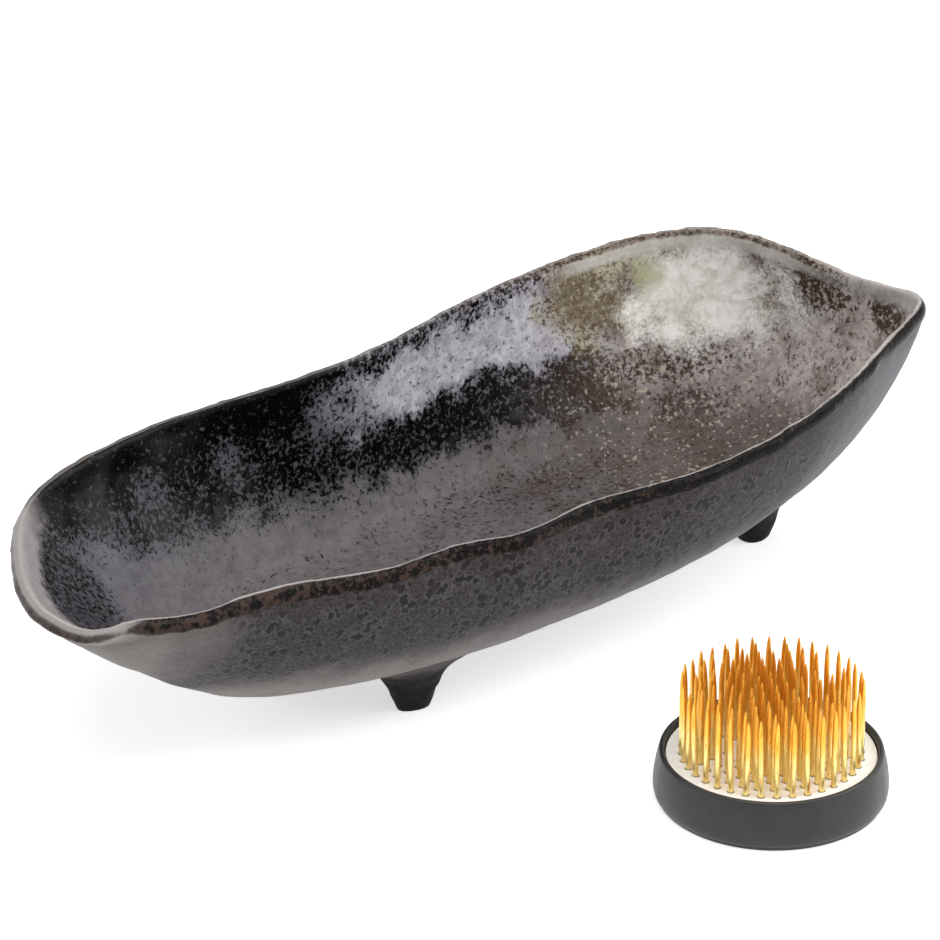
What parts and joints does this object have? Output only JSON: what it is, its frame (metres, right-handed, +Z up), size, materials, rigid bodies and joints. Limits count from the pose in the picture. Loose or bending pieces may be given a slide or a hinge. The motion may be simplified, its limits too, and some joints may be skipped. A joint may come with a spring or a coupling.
{
  "type": "ikebana suiban",
  "caption": "Long shallow hand-shaped stoneware bowl on stub feet with a wavy rim, for ikebana, and a round needle flower holder in a rubber ring.",
  "frame": {"origin": "middle of the set seen from above, on the table that it stands on", "axes": "+X along the bowl's length to its pinched high tip, +Y from the kenzan to the bowl, +Z up"},
  "size_m": [0.3012, 0.2072, 0.081],
  "materials": {
    "bowl_glaze": "satin gloss inside, matt crackled dark grey outside",
    "foot_clay": "matt dark grey brown",
    "ring_rubber": "matt black",
    "base_metal": "silver cast plate",
    "needle_brass": "bright drawn wire"
  },
  "bodies": {
    "suiban": {"bowl": "bowl_glaze", "foot_front": "foot_clay", "foot_right": "foot_clay", "foot_back": "foot_clay"},
    "rubber_ring": {"kenzan_ring": "ring_rubber"},
    "flower_holder": {"kenzan_base": "base_metal", "needle_centre": "needle_brass", "needle_ring_1": "needle_brass", "needle_ring_2": "needle_brass", "needle_ring_3": "needle_brass", "needle_ring_4": "needle_brass", "needle_ring_5": "needle_brass", "needle_ring_6": "needle_brass"}
  },
  "joints": [
    {"name": "kenzan_lift", "type": "slide", "parent": "suiban", "child": "rubber_ring", "axis": [0, 0, 1], "range_m": [0, 0.12]},
    {"name": "holder_lift", "type": "slide", "parent": "rubber_ring", "child": "flower_holder", "axis": [0, 0, 1], "range_m": [0, 0.03]}
  ]
}
